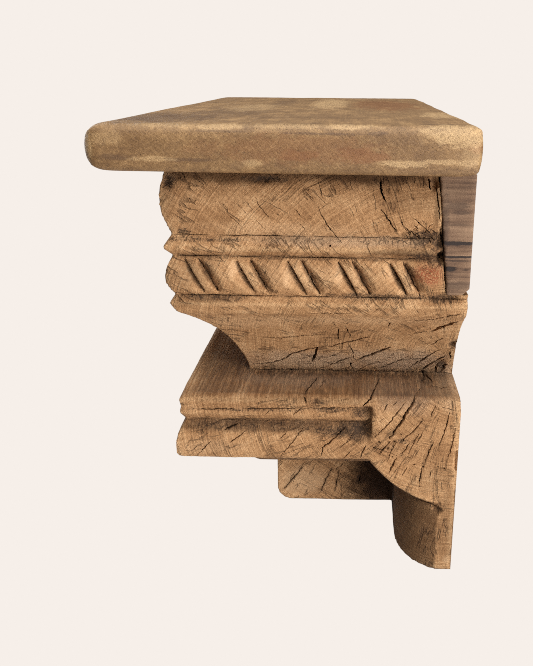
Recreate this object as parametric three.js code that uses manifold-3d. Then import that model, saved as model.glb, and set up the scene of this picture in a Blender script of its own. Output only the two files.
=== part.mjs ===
import * as THREE from "three";
import { mergeVertices } from "three/addons/utils/BufferGeometryUtils.js";
import Module from "manifold-3d";

const wasm = await Module();
wasm.setup();

// A corbel wall shelf: half of a carved timber capital under a thick board, fixed to a wall by its back.
// Millimetres. X runs along the wall, the wall is the plane y = 0, the front faces -Y and +Z is up.
// A reach is a distance out from the wall. Heights are counted from the board's underside.

// The board thins towards its front; its edges are worn round, the rear ones least
const board = { length: 441, depth: 252.5, thickness: 32.2, frontThickness: 30 };
const boardRounding = { frontTop: 11, frontFoot: 11, rearFoot: 3, rearTop: 2, endTop: 8, endFoot: 3 };
const boardPlanRounding = { front: 9, rear: 4 };

// The origin is on the wall, this far below the board's underside
const mountBelowBoard = 44;

// The capital's mouldings, from the top down, as reaches and heights at its front
const capitalFoot = -312;
const endInset = 10.3;
const quirkReach = 204.7;
const crown = { reach: 206.5, foot: -45.6, bulge: 5 };
const upperFillet = { noseTop: -52.8, noseFoot: -55, foot: -60.5, reach: 210.1 };
const rope = { foot: -89, bulge: 5.4, crestReach: 210.1 };
const lowerFillet = { nose: -94.4, foot: -102.4, reach: 208.6 };
const neck = { reach: 161, pullReach: 172, pullHeight: -125 };
const lowerBlock = { top: -167, edge: 4, edgeBulge: 1, reach: 207, ridgeFoot: -181, recess: 1.4 };
const groove = { height: -188, reach: 202.6 };
const band = { top: -203, reach: 209.5, bulge: 1.5, edge: 6, edgeBulge: 1.7, foot: -218 };
const course = { reach: 161, foot: -252, chamfer: 5 };
const shaft = { reach: 145, halfLength: 115, edge: 10, edgeBulge: 2 };

// A round pendant hangs in the middle of each end and of the front, under a plain square boss.
// A turned shoulder, swelling from the pendant to clear of the boss's corners, joins the two.
const boss = { top: -167.4, reach: 210, halfWidth: 65, behindAxis: 50, edge: 10, edgeBulge: 2.5 };
const pendant = { radius: 42, facetHalfWidth: 11, top: -230 };
const shoulder = {
  top: -205,
  topRadius: 83,
  edge: 10,
  clearRadius: 100,
  foot: -255,
  footRadius: 39,
  pullRadius: 66,
  pullHeight: -238,
};

// Slanting gouges, in pairs, cut across the rope roll; a pair leaves a narrow ridge between its cuts.
// Each cut is a lopsided V: its outer flank is wide and gentle, the flank beside the ridge steep.
const gougePitch = 35.3;
const gougeLean = 13.6;
const gougeTop = -62.5;
const gougeFoot = -87.5;
const gougeDepth = 6.2;
const gougeClearance = 3;
const ridgeWidth = 8.8;
const flank = { outer: 8, inner: 1.6 };
const endPairs = 5;
const frontPairs = 11;
const firstEndPair = 44.4;

// The batten let into the back is thicker at its top, and eased at its lower rear edge
const batten = { topThickness: 24.5, footThickness: 15.5, foot: -85, halfLength: 200, easing: 5 };
const jointGap = 0.3;

// How far joined solids reach into each other, and the sizes below which corners and edges are merged
const overrun = 1;
const sameCorner = 1e-4;
const shortestEdge = 0.02;

const arcSteps = 12;
const turnSteps = 48;
const quarterTurn = Math.PI / 2;

const boardColor = 0x8f7351;
const capitalColor = 0xa57f55;
const battenColor = 0x8a6c4a;
const waxed = 0.6;
const dry = 0.85;
const planed = 0.75;

const right = new THREE.Vector3(1, 0, 0);
const left = new THREE.Vector3(-1, 0, 0);
const up = new THREE.Vector3(0, 0, 1);
const toWall = new THREE.Vector3(0, 1, 0);
const toFront = new THREE.Vector3(0, -1, 0);

function hasThreeCorners(a, b, c) {
  return a !== b && b !== c && c !== a;
}

function toSolid(geometry) {
  geometry.deleteAttribute("normal");
  geometry.deleteAttribute("uv");
  const merged = mergeVertices(geometry, sameCorner);
  const corners = merged.index.array;
  const triangles = [];
  for (let i = 0; i < corners.length; i += 3) {
    const triangle = [corners[i], corners[i + 1], corners[i + 2]];
    if (hasThreeCorners(...triangle)) triangles.push(...triangle);
  }
  const mesh = new wasm.Mesh({
    numProp: 3,
    vertProperties: new Float32Array(merged.attributes.position.array),
    triVerts: new Uint32Array(triangles),
  });
  return new wasm.Manifold(mesh);
}

function toGeometry(solid) {
  const mesh = solid.simplify(shortestEdge).getMesh();
  const geometry = new THREE.BufferGeometry();
  geometry.setAttribute("position", new THREE.BufferAttribute(mesh.vertProperties, mesh.numProp));
  geometry.setIndex(new THREE.BufferAttribute(mesh.triVerts, 1));
  geometry.computeVertexNormals();
  return geometry;
}

// Extrudes an outline, whose own x and y point along the first two directions, along the third
function extrude(shape, length, directions, start = new THREE.Vector3()) {
  const geometry = new THREE.ExtrudeGeometry(shape, {
    depth: length,
    bevelEnabled: false,
    curveSegments: arcSteps,
  });
  const place = new THREE.Matrix4().makeBasis(...directions).setPosition(start);
  return toSolid(geometry.applyMatrix4(place));
}

// The outline's x is the reach from the wall and its y the height
function alongWall(shape, halfLength) {
  return extrude(shape, 2 * halfLength, [toFront, up, left], new THREE.Vector3(halfLength, 0, 0));
}

// The outline's x is the place along the wall and its y the height
function outFromWall(shape, reach) {
  const start = new THREE.Vector3(0, overrun, 0);
  return extrude(shape, overrun + reach, [right, up, toFront], start);
}

// The outline's x and y are those of the model
function upwards(shape, from, to) {
  return extrude(shape, to - from, [right, toWall, up], new THREE.Vector3(0, 0, from));
}

// A rectangle with a radius for each corner, from the lower left one round to the upper left one
function roundedRectangle(x0, y0, x1, y1, [lowerLeft, lowerRight, upperRight, upperLeft]) {
  const shape = new THREE.Shape();
  shape.absarc(x0 + lowerLeft, y0 + lowerLeft, lowerLeft, 2 * quarterTurn, 3 * quarterTurn);
  shape.absarc(x1 - lowerRight, y0 + lowerRight, lowerRight, 3 * quarterTurn, 4 * quarterTurn);
  shape.absarc(x1 - upperRight, y1 - upperRight, upperRight, 0, quarterTurn);
  shape.absarc(x0 + upperLeft, y1 - upperLeft, upperLeft, quarterTurn, 2 * quarterTurn);
  return shape;
}

// The board's section, whose upper side falls a little from the wall to the front
function boardSection() {
  const { frontTop, frontFoot, rearFoot, rearTop } = boardRounding;
  const { depth, thickness, frontThickness } = board;
  const tilt = Math.atan((thickness - frontThickness) / depth);
  const shape = new THREE.Shape();
  shape.absarc(rearFoot, rearFoot, rearFoot, 2 * quarterTurn, 3 * quarterTurn);
  shape.absarc(depth - frontFoot, frontFoot, frontFoot, 3 * quarterTurn, 4 * quarterTurn);
  shape.absarc(depth - frontTop, frontThickness - frontTop, frontTop, 0, quarterTurn - tilt);
  shape.absarc(rearTop, thickness - rearTop, rearTop, quarterTurn - tilt, 2 * quarterTurn);
  return shape;
}

// The board is rounded three ways: seen from its end, from its front and from above
function makeBoard() {
  const { endTop, endFoot } = boardRounding;
  const { front, rear } = boardPlanRounding;
  const { length, depth, thickness } = board;
  const endRadii = [endFoot, endFoot, endTop, endTop];
  const planRadii = [front, front, rear, rear];
  const elevation = roundedRectangle(-length / 2, 0, length / 2, thickness, endRadii);
  const plan = roundedRectangle(-length / 2, -depth, length / 2, 0, planRadii);
  return alongWall(boardSection(), length / 2)
    .intersect(outFromWall(elevation, depth))
    .intersect(upwards(plan, 0, thickness));
}

// Draws a swelling stretch, which stands out by bulge at the middle of its chord
function swellTo(path, x, y, bulge) {
  const from = path.currentPoint.clone();
  const chord = new THREE.Vector2(x, y).sub(from);
  const outwards = new THREE.Vector2(-chord.y, chord.x).normalize();
  const pull = from.addScaledVector(chord, 0.5).addScaledVector(outwards, 2 * bulge);
  path.quadraticCurveTo(pull.x, pull.y, x, y);
}

// Draws the mouldings from the crown down to the course, all of them drawn in by inset
function drawMouldings(path, inset) {
  const to = (reach, height) => path.lineTo(reach - inset, height);
  const swell = (reach, height, bulge) => swellTo(path, reach - inset, height, bulge);
  const edgeFoot = lowerBlock.top - lowerBlock.edge;
  to(crown.reach, 0);
  swell(quirkReach, crown.foot, crown.bulge);
  to(upperFillet.reach, upperFillet.noseTop);
  to(upperFillet.reach, upperFillet.noseFoot);
  to(quirkReach, upperFillet.foot);
  swell(quirkReach, rope.foot, rope.bulge);
  to(lowerFillet.reach, lowerFillet.nose);
  to(quirkReach, lowerFillet.foot);
  path.quadraticCurveTo(neck.pullReach - inset, neck.pullHeight, neck.reach - inset, lowerBlock.top);
  to(lowerBlock.reach - lowerBlock.edge, lowerBlock.top);
  swell(lowerBlock.reach, edgeFoot, lowerBlock.edgeBulge);
  to(lowerBlock.reach - lowerBlock.recess, (edgeFoot + lowerBlock.ridgeFoot) / 2);
  to(lowerBlock.reach, lowerBlock.ridgeFoot);
  to(groove.reach, groove.height);
  swell(band.reach, band.top, band.bulge);
  to(band.reach, band.foot + band.edge);
  swell(band.reach - band.edge, band.foot, band.edgeBulge);
  to(course.reach, band.foot);
  to(course.reach, course.foot + course.chamfer);
  to(course.reach - course.chamfer, course.foot);
}

// The mouldings return round the ends, so the front's outline meets the ends' outline in a mitre
function makeMouldings() {
  const front = new THREE.Shape();
  front.moveTo(-overrun, 0);
  drawMouldings(front, 0);
  front.lineTo(-overrun, course.foot);
  const half = new THREE.Path();
  half.moveTo(0, 0);
  drawMouldings(half, endInset);
  const oneSide = half.getPoints(arcSteps).slice(1);
  const otherSide = oneSide.map((point) => new THREE.Vector2(-point.x, point.y)).reverse();
  const ends = new THREE.Shape([...oneSide, ...otherSide]);
  return alongWall(front, board.length / 2).intersect(outFromWall(ends, board.depth));
}

function makeShaft() {
  const outline = new THREE.Shape();
  outline.moveTo(-overrun, course.foot + overrun);
  outline.lineTo(shaft.reach, course.foot + overrun);
  outline.lineTo(shaft.reach, capitalFoot + shaft.edge);
  swellTo(outline, shaft.reach - shaft.edge, capitalFoot, shaft.edgeBulge);
  outline.lineTo(-overrun, capitalFoot);
  return alongWall(outline, shaft.halfLength);
}

// The turned shoulder that brings the square boss in to the round pendant
function makeShoulder() {
  const outline = new THREE.Path();
  outline.moveTo(0, shoulder.foot);
  outline.lineTo(shoulder.footRadius, shoulder.foot);
  outline.quadraticCurveTo(shoulder.pullRadius, shoulder.pullHeight, shoulder.topRadius, shoulder.top);
  outline.lineTo(shoulder.clearRadius, shoulder.top + shoulder.edge);
  outline.lineTo(shoulder.clearRadius, 0);
  outline.lineTo(0, 0);
  const turned = new THREE.LatheGeometry(outline.getPoints(arcSteps), turnSteps);
  return toSolid(turned.rotateX(quarterTurn));
}

// A square boss with its upper edge rounded off, facing +X, with its face at x = 0
function makeBoss(axis) {
  const back = axis - boss.behindAxis;
  const side = new THREE.Shape();
  side.moveTo(0, capitalFoot);
  side.lineTo(back, capitalFoot);
  side.lineTo(back, boss.top);
  side.lineTo(-boss.edge, boss.top);
  swellTo(side, 0, boss.top - boss.edge, boss.edgeBulge);
  const start = new THREE.Vector3(0, boss.halfWidth, 0);
  const square = extrude(side, 2 * boss.halfWidth, [right, up, toFront], start);
  return square.intersect(makeShoulder().translate([axis, 0, 0]));
}

// A boss with its pendant, whose straight sides run back to the shaft behind it
function makeBossAndPendant(runBack) {
  const { radius, facetHalfWidth } = pendant;
  const axis = -Math.sqrt(radius ** 2 - facetHalfWidth ** 2);
  const facetTurn = Math.asin(facetHalfWidth / radius);
  const plan = new THREE.Shape();
  plan.moveTo(-runBack, -radius);
  plan.lineTo(axis, -radius);
  plan.absarc(axis, 0, radius, -quarterTurn, -facetTurn);
  plan.absarc(axis, 0, radius, facetTurn, quarterTurn);
  plan.lineTo(-runBack, radius);
  return makeBoss(axis).add(upwards(plan, capitalFoot, pendant.top));
}

function makePendants() {
  const endFace = boss.reach - endInset;
  const atEnd = makeBossAndPendant(endFace - shaft.halfLength + overrun);
  const atFront = makeBossAndPendant(boss.reach - shaft.reach + shaft.edge + overrun);
  const nearEnd = atEnd.translate([endFace, 0, 0]);
  const farEnd = atEnd.rotate([0, 0, 180]).translate([-endFace, 0, 0]);
  const middle = atFront.rotate([0, 0, -90]).translate([0, -boss.reach, 0]);
  return nearEnd.add(farEnd).add(middle);
}

// One cut across the roll, on one side of its pair; face says which way the roll runs and faces
function makeCut(face, place, side) {
  const widening = side * (1 + gougeClearance / gougeDepth);
  const section = new THREE.Shape();
  section.moveTo(0, -gougeDepth);
  section.lineTo(widening * flank.outer, gougeClearance);
  section.lineTo(-widening * flank.inner, gougeClearance);
  const down = new THREE.Vector3()
    .addScaledVector(face.across, gougeLean)
    .addScaledVector(up, gougeFoot - gougeTop);
  const length = down.length();
  down.normalize();
  const sideways = new THREE.Vector3().crossVectors(face.out, down);
  const start = new THREE.Vector3()
    .addScaledVector(face.across, place + (side * ridgeWidth - gougeLean) / 2)
    .addScaledVector(up, gougeTop)
    .addScaledVector(face.out, face.reach);
  return extrude(section, length, [sideways, face.out, down], start);
}

// The gouges lean the same way round all three faces, as the strands of a rope do
function makeGouges() {
  const endReach = rope.crestReach - endInset;
  const nearEnd = { across: toWall, out: right, reach: endReach };
  const farEnd = { across: toFront, out: left, reach: endReach };
  const front = { across: right, out: toFront, reach: rope.crestReach };
  const cuts = [];
  const cutPair = (face, place) => cuts.push(makeCut(face, place, -1), makeCut(face, place, 1));
  for (let i = 0; i < endPairs; i += 1) {
    const place = firstEndPair + i * gougePitch;
    cutPair(nearEnd, -place);
    cutPair(farEnd, place);
  }
  for (let i = 0; i < frontPairs; i += 1) {
    cutPair(front, (i - (frontPairs - 1) / 2) * gougePitch);
  }
  return wasm.Manifold.union(cuts);
}

function makeBatten() {
  const outline = new THREE.Shape();
  outline.moveTo(0, 0);
  outline.lineTo(batten.topThickness, 0);
  outline.lineTo(batten.footThickness, batten.foot);
  outline.lineTo(batten.easing, batten.foot);
  outline.lineTo(0, batten.foot + batten.easing);
  return alongWall(outline, batten.halfLength);
}

// The sawn back: everything behind the wall plane is cut away from the capital in one go
function makeWallSide() {
  const wallSide = new THREE.BoxGeometry(board.length, board.depth, 2 * board.depth - capitalFoot);
  return toSolid(wallSide.translate(0, board.depth / 2, capitalFoot / 2));
}

function makeRebate() {
  const outline = new THREE.Shape();
  outline.moveTo(-overrun, overrun);
  outline.lineTo(batten.topThickness + jointGap, overrun);
  outline.lineTo(batten.topThickness + jointGap, 0);
  outline.lineTo(batten.footThickness + jointGap, batten.foot - jointGap);
  outline.lineTo(-overrun, batten.foot - jointGap);
  return alongWall(outline, board.length / 2);
}

function makeCapital() {
  const carved = makeMouldings().subtract(makeGouges());
  const whole = carved.add(makeShaft()).add(makePendants());
  return whole.subtract(makeWallSide()).subtract(makeRebate());
}

function makePiece(name, solid, color, roughness) {
  const material = new THREE.MeshStandardMaterial({ color, roughness, metalness: 0 });
  const piece = new THREE.Mesh(toGeometry(solid), material);
  piece.name = name;
  return piece;
}

const shelf = new THREE.Group();
shelf.add(makePiece("shelf_board", makeBoard(), boardColor, waxed));
shelf.add(makePiece("corbel_block", makeCapital(), capitalColor, dry));
shelf.add(makePiece("back_batten", makeBatten(), battenColor, planed));
shelf.position.z = mountBelowBoard;

export default shelf;
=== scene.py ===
"""Dresses the corbel wall shelf: a worn board and a batten on half of an old, checked timber capital.

Metres. X runs along the wall, the wall is the plane y = 0, the front faces -Y and +Z is up.
Millimetres are written with MM. A picture place is a pixel of the 533 x 666 picture, from its upper left.
"""

import math

import bmesh
import bpy
import numpy as np
from mathutils import Matrix, Vector
from mathutils.bvhtree import BVHTree


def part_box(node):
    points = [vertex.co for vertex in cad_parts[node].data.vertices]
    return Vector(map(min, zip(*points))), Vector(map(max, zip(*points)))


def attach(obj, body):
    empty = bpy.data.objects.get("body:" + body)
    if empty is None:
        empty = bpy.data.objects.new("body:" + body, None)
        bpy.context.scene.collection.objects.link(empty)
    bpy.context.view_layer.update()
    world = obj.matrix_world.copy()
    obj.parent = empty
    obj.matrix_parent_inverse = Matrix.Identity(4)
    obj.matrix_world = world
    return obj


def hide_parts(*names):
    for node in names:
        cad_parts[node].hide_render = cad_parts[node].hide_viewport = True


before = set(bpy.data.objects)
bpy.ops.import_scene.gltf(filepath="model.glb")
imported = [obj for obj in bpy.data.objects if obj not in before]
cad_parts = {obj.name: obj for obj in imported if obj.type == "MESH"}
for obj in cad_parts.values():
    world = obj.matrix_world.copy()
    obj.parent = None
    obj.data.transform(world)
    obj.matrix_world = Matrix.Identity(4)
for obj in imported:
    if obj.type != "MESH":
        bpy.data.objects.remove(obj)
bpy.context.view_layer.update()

MM = 0.001

# The camera stands by the near end, a little above the board, and looks along the wall
PICTURE_SIZE = (533, 666)
SENSOR_MM = 36.0
FOCAL_PIXELS = 650
OPTICAL_AXIS = (351.9, 251.7)
CAMERA_PLACE = Vector((0.6248, -0.0816, 0.1074))
CAMERA_PITCH = math.radians(15.5)
CAMERA_ROLL = math.radians(1.0)

PALE = (246, 239, 233)

# The heart of the log runs along X, near the wall and below the mouldings
HEART_PICTURE = (446, 356)


def linear(red, green, blue):
    """A colour given as it shows on a screen, 0 to 255, as the renderer's linear values."""
    shown = np.array((red, green, blue)) / 255
    low = shown / 12.92
    high = ((shown + 0.055) / 1.055) ** 2.4
    return (*np.where(shown <= 0.04045, low, high), 1.0)


def camera_axes():
    """The camera's right, up and forward directions."""
    level = Vector((0, 1, 0))
    raised = Vector((-math.sin(CAMERA_PITCH), 0, math.cos(CAMERA_PITCH)))
    forward = Vector((-math.cos(CAMERA_PITCH), 0, -math.sin(CAMERA_PITCH)))
    right = math.cos(CAMERA_ROLL) * level + math.sin(CAMERA_ROLL) * raised
    up = math.cos(CAMERA_ROLL) * raised - math.sin(CAMERA_ROLL) * level
    return right, up, forward


def make_camera():
    long_side = max(PICTURE_SIZE)
    right, up, forward = camera_axes()
    data = bpy.data.cameras.new("camera")
    data.sensor_width = SENSOR_MM
    data.lens = FOCAL_PIXELS * SENSOR_MM / long_side
    data.shift_x = (PICTURE_SIZE[0] / 2 - OPTICAL_AXIS[0]) / long_side
    data.shift_y = (OPTICAL_AXIS[1] - PICTURE_SIZE[1] / 2) / long_side
    data.clip_start = 0.01
    camera = bpy.data.objects.new("camera", data)
    turn = Matrix((right, up, -forward)).transposed()
    camera.matrix_world = Matrix.Translation(CAMERA_PLACE) @ turn.to_4x4()
    bpy.context.scene.collection.objects.link(camera)
    bpy.context.scene.camera = camera


def sight_line(picture_place):
    """The direction from the camera through a picture place."""
    right, up, forward = camera_axes()
    across = (picture_place[0] - OPTICAL_AXIS[0]) / FOCAL_PIXELS
    down = (picture_place[1] - OPTICAL_AXIS[1]) / FOCAL_PIXELS
    return (forward + across * right - down * up).normalized()


def solid_tree(node_name):
    """A tree for casting rays at a CAD node."""
    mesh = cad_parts[node_name].data
    corners = [vertex.co.copy() for vertex in mesh.vertices]
    faces = [tuple(face.vertices) for face in mesh.polygons]
    return BVHTree.FromPolygons(corners, faces)


def seen_on(tree, picture_place):
    """The point of the solid, and its normal there, that a picture place shows."""
    place, normal, _, _ = tree.ray_cast(CAMERA_PLACE, sight_line(picture_place))
    return place, normal


# Smooth repeatable noise


def lattice_value(x, y, z, seed):
    """A repeatable number from -1 to 1 for each corner of a lattice."""
    mixed = x * np.uint32(374761393) + y * np.uint32(668265263)
    mixed += z * np.uint32(2246822519) + np.uint32(seed * 974634777 % 2**32)
    mixed = (mixed ^ (mixed >> np.uint32(13))) * np.uint32(1274126177)
    mixed = (mixed ^ (mixed >> np.uint32(15))) * np.uint32(2654435761)
    mixed ^= mixed >> np.uint32(16)
    return mixed.astype(np.float64) / 2**31 - 1


def noise(points, size, seed):
    """Noise from -1 to 1 with bumps about size across; size may differ along x, y and z."""
    scaled = points / np.asarray(size)
    base = np.floor(scaled)
    part = scaled - base
    part = part * part * (3 - 2 * part)
    corner = base.astype(np.int64).astype(np.uint32)
    total = np.zeros(len(points))
    for step in np.ndindex(2, 2, 2):
        weight = np.ones(len(points))
        for axis in range(3):
            weight *= part[:, axis] if step[axis] else 1 - part[:, axis]
        x, y, z = (corner[:, axis] + np.uint32(step[axis]) for axis in range(3))
        total += weight * lattice_value(x, y, z, seed)
    return total


def layered_noise(points, size, seed, layers=3):
    """Noise with finer and weaker layers added, about -1 to 1."""
    total = np.zeros(len(points))
    for layer in range(layers):
        total += noise(points, np.asarray(size) / 2**layer, seed + layer) / 2**layer
    return total / 1.5


def ease(values, low, high):
    """0 below low, 1 above high and a smooth step between them."""
    share = np.clip((values - low) / (high - low), 0, 1)
    return share * share * (3 - 2 * share)


# Meshes as arrays


def points_of(mesh):
    flat = np.empty(len(mesh.vertices) * 3)
    mesh.vertices.foreach_get("co", flat)
    return flat.reshape(-1, 3)


def normals_of(mesh):
    flat = np.empty(len(mesh.vertices) * 3)
    mesh.vertices.foreach_get("normal", flat)
    return flat.reshape(-1, 3)


def move_points(mesh, points):
    mesh.vertices.foreach_set("co", points.ravel())
    mesh.update()


def add_value(mesh, name, values):
    """Keeps a number for each point of the mesh, for its material to read."""
    attribute = mesh.attributes.new(name, "FLOAT", "POINT")
    attribute.data.foreach_set("value", values.astype(np.float32))


def with_modifier(piece, kind, **settings):
    """Applies one modifier to the piece."""
    modifier = piece.modifiers.new("step", kind)
    for name, value in settings.items():
        setattr(modifier, name, value)
    evaluated = piece.evaluated_get(bpy.context.evaluated_depsgraph_get())
    mesh = bpy.data.meshes.new_from_object(evaluated)
    piece.modifiers.clear()
    piece.data = mesh


def copy_of(node_name, piece_name, voxel):
    """A new piece from a CAD node, as an even mesh of that fineness."""
    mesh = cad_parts[node_name].data.copy()
    mesh.materials.clear()
    piece = bpy.data.objects.new(piece_name, mesh)
    bpy.context.scene.collection.objects.link(piece)
    with_modifier(piece, "REMESH", mode="VOXEL", voxel_size=voxel)
    return piece


def in_place_of(piece, node_name, material, sharp_from):
    """The piece stands for the node, moves with the shelf and takes the given material."""
    piece.data.materials.clear()
    piece.data.materials.append(material)
    piece.data.shade_smooth()
    piece.data.set_sharp_from_angle(angle=sharp_from)
    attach(piece, "root")
    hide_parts(node_name)


def keep_inside(points, node_name):
    """Points that lie outside the node's own box are brought back to it."""
    low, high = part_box(node_name)
    return np.clip(points, np.array(low), np.array(high))


# How much of the space round a point is solid: half on a flat face, more in a hollow, less on an edge


class Fullness:
    CELL = 2.0 * MM

    def __init__(self, node_name):
        tree = solid_tree(node_name)
        low, high = (np.array(corner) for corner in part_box(node_name))
        margin = 16 * self.CELL
        self.low = low - margin
        self.shape = np.ceil((high - low + 2 * margin) / self.CELL).astype(int)
        self.filled = np.zeros(self.shape, np.float32)
        for j, k in np.ndindex(*self.shape[1:]):
            self.fill_row(tree, j, k)
        self.smoothed = {}

    def fill_row(self, tree, j, k):
        """Fills the cells of one row along X that lie inside the solid."""
        y, z = self.low[1:] + (np.array((j, k)) + 0.5) * self.CELL
        x = self.low[0]
        crossings = []
        while True:
            place = tree.ray_cast(Vector((x, y, z)), Vector((1, 0, 0)))[0]
            if place is None:
                break
            crossings.append((place.x - self.low[0]) / self.CELL)
            x = place.x + 0.01 * MM
        for enter, leave in zip(crossings[::2], crossings[1::2]):
            self.filled[round(enter) : round(leave), j, k] = 1

    def blur(self, radius):
        """The share of solid within about that radius, for every cell."""
        if radius not in self.smoothed:
            falloff = -2 * (math.pi * radius / self.CELL) ** 2
            spectrum = np.fft.rfftn(self.filled)
            for axis, count in enumerate(self.shape):
                waves = np.fft.rfftfreq(count) if axis == 2 else np.fft.fftfreq(count)
                along = [1, 1, 1]
                along[axis] = -1
                spectrum *= np.exp(falloff * waves**2).reshape(along)
            self.smoothed[radius] = np.fft.irfftn(spectrum, s=tuple(self.shape))
        return self.smoothed[radius]

    def at(self, points, radius):
        """The share of solid round each point, between the middles of the cells near it."""
        cells = self.blur(radius)
        scaled = (points - self.low) / self.CELL - 0.5
        base = np.floor(scaled).astype(int)
        part = scaled - base
        total = np.zeros(len(points))
        for step in np.ndindex(2, 2, 2):
            weight = np.ones(len(points))
            for axis in range(3):
                weight *= part[:, axis] if step[axis] else 1 - part[:, axis]
            i, j, k = (base[:, axis] + step[axis] for axis in range(3))
            total += weight * cells[i, j, k]
        return total


# Cracks, cut as thin wedges


def ragged(path, spacing, wander, rng):
    """The same path in short steps, each a little off its line."""
    made = [path[0]]
    for start, end in zip(path, path[1:]):
        steps = max(1, round((end - start).length / spacing))
        for i in range(1, steps + 1):
            made.append(start.lerp(end, i / steps))
    for i in range(1, len(made) - 1):
        made[i] = made[i] + Vector(rng.uniform(-wander, wander, len(made[i])))
    return made


def wedge(places, inwards, width, depth, rng):
    """A closed thin blade along the places, as corners and faces. It narrows to nothing at its ends."""
    corners = []
    faces = []
    last = len(places) - 1
    for i, (place, inward) in enumerate(zip(places, inwards)):
        along = places[min(i + 1, last)] - places[max(i - 1, 0)]
        sideways = along.cross(inward).normalized()
        share = math.sin(math.pi * (0.06 + 0.88 * i / last)) ** 0.6
        half = width / 2 * share * rng.uniform(0.7, 1.2)
        deep = depth * share * rng.uniform(0.8, 1.1)
        above = 1.5 * MM
        half_above = half * (1 + above / deep)
        corners.append(place - inward * above - sideways * half_above)
        corners.append(place - inward * above + sideways * half_above)
        corners.append(place + inward * deep)
    for i in range(last):
        for a, b in ((0, 1), (1, 2), (2, 0)):
            faces.append((3 * i + b, 3 * i + a, 3 * i + 3 + a, 3 * i + 3 + b))
    faces.append((0, 1, 2))
    faces.append((3 * last + 2, 3 * last + 1, 3 * last))
    return corners, faces


def cut_away(piece, blades):
    """Takes the blades, which don't touch each other, out of the piece."""
    corners = []
    faces = []
    for blade_corners, blade_faces in blades:
        first = len(corners)
        corners += blade_corners
        faces += [tuple(first + i for i in face) for face in blade_faces]
    mesh = bpy.data.meshes.new("blades")
    mesh.from_pydata(corners, [], faces)
    mesh.update()
    cutter = bpy.data.objects.new("blades", mesh)
    bpy.context.scene.collection.objects.link(cutter)
    with_modifier(piece, "BOOLEAN", operation="DIFFERENCE", solver="MANIFOLD", object=cutter)
    bpy.data.objects.remove(cutter)
    bpy.data.meshes.remove(mesh)


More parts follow.
